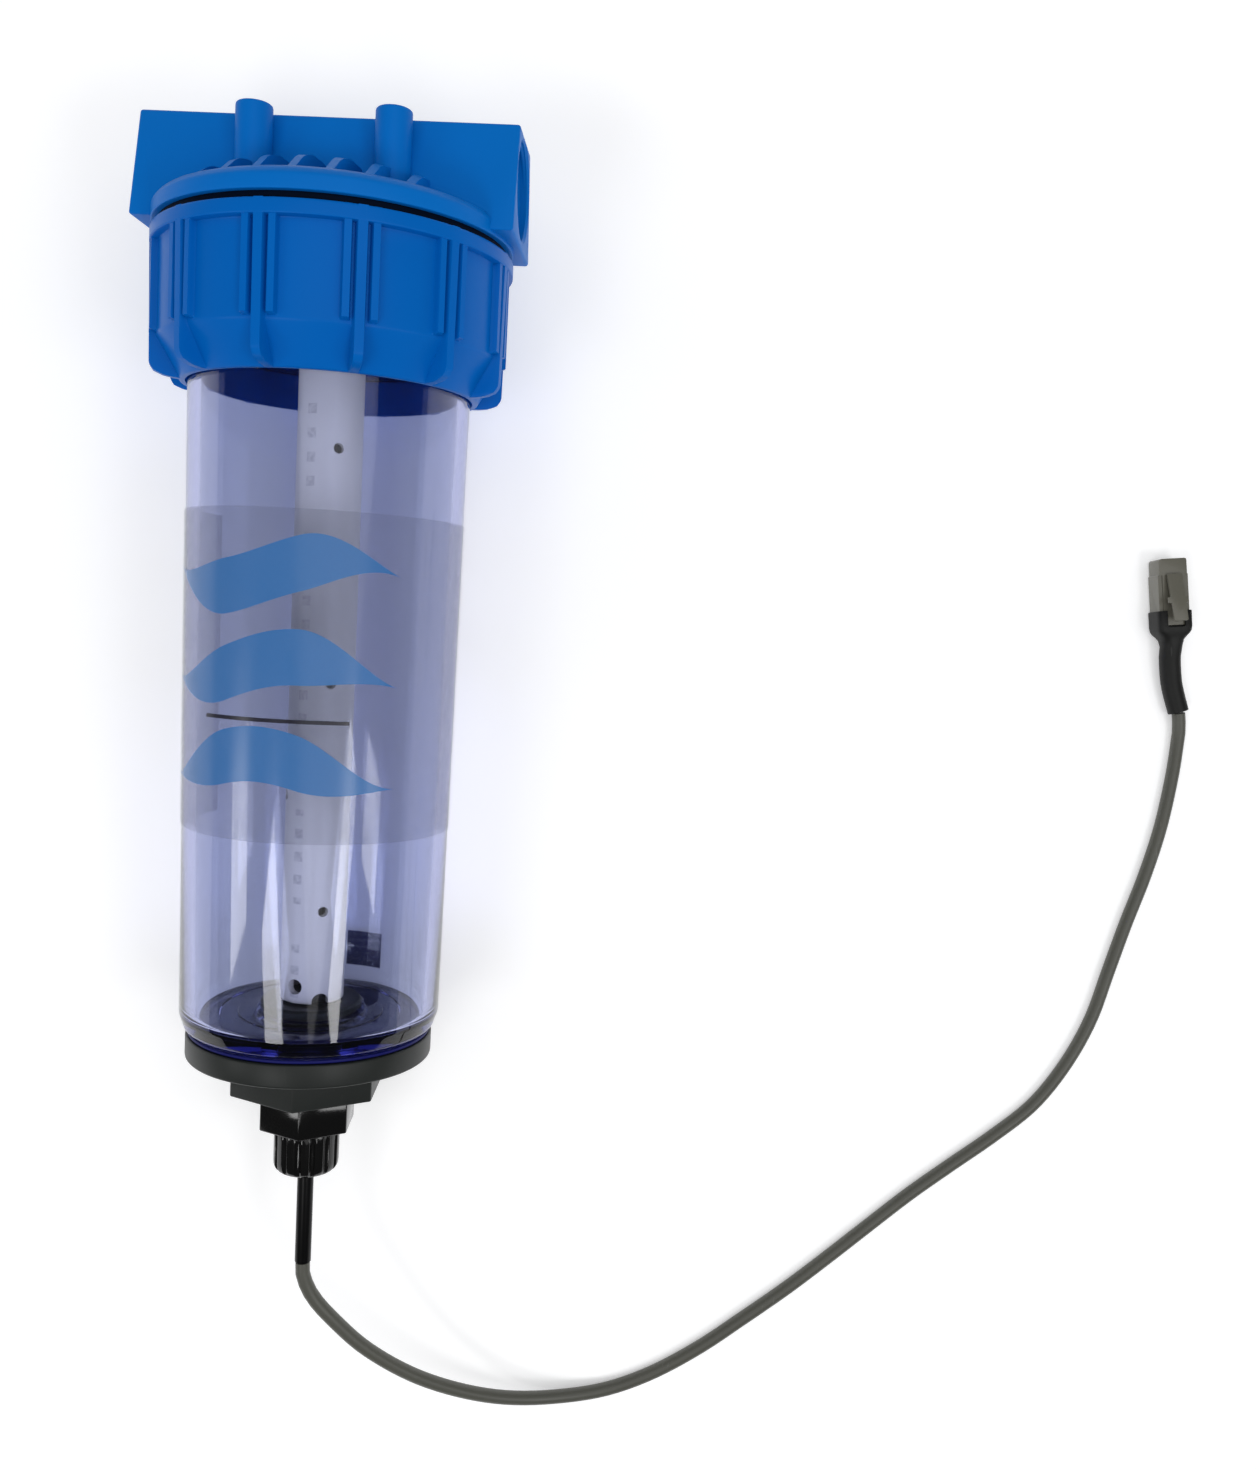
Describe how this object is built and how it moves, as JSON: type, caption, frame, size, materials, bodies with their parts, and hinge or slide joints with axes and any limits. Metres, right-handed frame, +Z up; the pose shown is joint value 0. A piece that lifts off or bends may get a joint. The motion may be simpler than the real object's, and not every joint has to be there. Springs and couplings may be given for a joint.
{
  "type": "salt chlorine generator",
  "caption": "Clear flow-through cell with a port head, a screwed ring nut, a drilled electrode pipe inside, a foot gland and a corded modular plug, lying on its side.",
  "frame": {"origin": "on the ground, below the middle of the housing's bounding box without its lead", "axes": "+Y along the housing from its foot gland to its port head, +X towards the lead and the outlet port, +Z up"},
  "size_m": [0.3882, 0.4475, 0.1156],
  "materials": {
    "head_blue": "moulded, fine satin",
    "nut_blue": "moulded, satin",
    "clear_bowl": "clear plastic with a blue-violet tint",
    "label_film": "printed translucent film",
    "rear_label": "printed sticker",
    "pipe_white": "white pvc",
    "bulkhead_grey": "moulded, fine grain",
    "gland_black": "glossy nylon",
    "seal_rubber": "soft",
    "zinc": "dull grey metal",
    "steel": "drawn rod",
    "inner_plastic": "plain",
    "potting": "cast resin",
    "cord_grey": "extruded jacket",
    "boot_black": "moulded boot",
    "plug_clear": "smoky clear plastic",
    "contact_gold": "plated"
  },
  "bodies": {
    "bowl_unit": {"bowl": "clear_bowl", "bowl_o_ring": "seal_rubber", "label_film": "label_film", "rear_label": "rear_label", "perforated_pipe": "pipe_white", "anode_rod": "zinc", "cathode_rod": "steel", "electrode_spacer_top": "inner_plastic", "electrode_spacer_bottom": "inner_plastic", "anode_lead": "potting", "cathode_lead": "inner_plastic", "pipe_foot_plug": "potting", "bulkhead_body": "bulkhead_grey", "bulkhead_gasket": "seal_rubber", "bulkhead_inner_washer": "seal_rubber", "bulkhead_nut": "bulkhead_grey", "gland_body": "gland_black", "gland_washer": "seal_rubber", "gland_seal": "seal_rubber", "cord_sleeve": "boot_black", "cord": "cord_grey", "plug_boot": "boot_black", "plug_body": "plug_clear", "plug_contact_1": "contact_gold", "plug_contact_2": "contact_gold", "plug_contact_3": "contact_gold", "plug_contact_4": "contact_gold", "plug_contact_5": "contact_gold", "plug_contact_6": "contact_gold", "plug_contact_7": "contact_gold", "plug_contact_8": "contact_gold"},
    "head": {"head": "head_blue", "pipe_guide_bush": "inner_plastic"},
    "ring_nut": {"ring_nut": "nut_blue"},
    "gland_clamp": {"gland_clamp_ring": "gland_black"},
    "gland_nut": {"gland_dome_nut": "gland_black"},
    "plug_latch": {"plug_latch": "plug_clear"}
  },
  "joints": [
    {"name": "nut_turn", "type": "hinge", "parent": "bowl_unit", "child": "ring_nut", "pos_m": [0, 0.10848, 0.05649], "axis": [0, -0.9982, -0.0601], "range_deg": [0, 1440]},
    {"name": "head_lift", "type": "slide", "parent": "bowl_unit", "child": "head", "axis": [0, 0.9982, 0.0601], "range_m": [0, 0.02]},
    {"name": "gland_nut_turn", "type": "hinge", "parent": "gland_clamp", "child": "gland_nut", "pos_m": [0, -0.16502, 0.04001], "axis": [0, -0.9982, -0.0601], "range_deg": [0, 1080]},
    {"name": "gland_clamp_slide", "type": "slide", "parent": "bowl_unit", "child": "gland_clamp", "axis": [0, -0.9982, -0.0601], "range_m": [0, 0.0045]},
    {"name": "latch_press", "type": "hinge", "parent": "bowl_unit", "child": "plug_latch", "pos_m": [0.31429, 0.05087, 0.0104], "axis": [0.994, 0.1097, 0], "range_deg": [0, 8], "stiffness_Nm_per_rad": 0.12}
  ],
  "couplings": [
    {"joint": "head_lift", "follows": "nut_turn", "m_per_rad": 0.00079577},
    {"joint": "gland_clamp_slide", "follows": "gland_nut_turn", "m_per_rad": 0.00023873}
  ]
}
